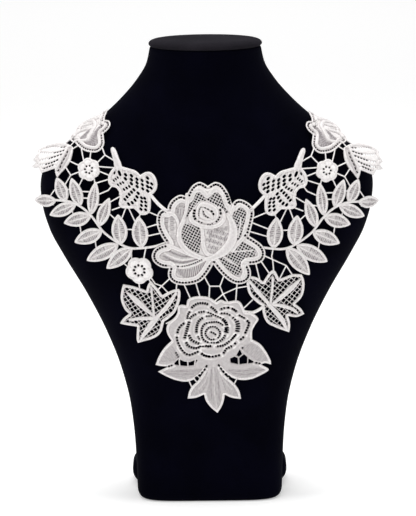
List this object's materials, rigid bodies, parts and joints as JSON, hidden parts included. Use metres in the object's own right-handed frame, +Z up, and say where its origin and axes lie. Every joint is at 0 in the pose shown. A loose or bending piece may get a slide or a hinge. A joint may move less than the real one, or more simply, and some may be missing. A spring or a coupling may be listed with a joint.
{
  "type": "lace collar and bust display stand",
  "caption": "White guipure lace collar with rose, leaf and butterfly motifs joined by thin bars, laid over the chest and shoulders of a black velvet necklace bust.",
  "frame": {"origin": "middle of the stand body's flat underside, on the surface that it stands on", "axes": "+Z up, the front of the collar faces -Y, +X to the right seen from the front"},
  "size_m": [0.2699, 0.1055, 0.356],
  "materials": {
    "lace": "matt satin stitch in white cotton and rayon thread",
    "velvet": "short black velvet pile over a smooth rigid form"
  },
  "bodies": {
    "root": {"stand_body": "velvet", "stand_neck_cap": "velvet", "stand_foot": "velvet", "lace_centre_rose": "lace", "lace_drop_rose": "lace", "lace_maple_leaf_left": "lace", "lace_maple_leaf_right": "lace", "lace_daisy_low_left": "lace", "lace_butterfly_left": "lace", "lace_butterfly_right": "lace", "lace_spray_left": "lace", "lace_spray_right": "lace", "lace_daisy_high_left": "lace", "lace_daisy_high_right": "lace", "lace_shoulder_rose_left": "lace", "lace_shoulder_rose_right": "lace", "lace_shoulder_leaf_left": "lace", "lace_shoulder_leaf_right": "lace"}
  },
  "joints": []
}
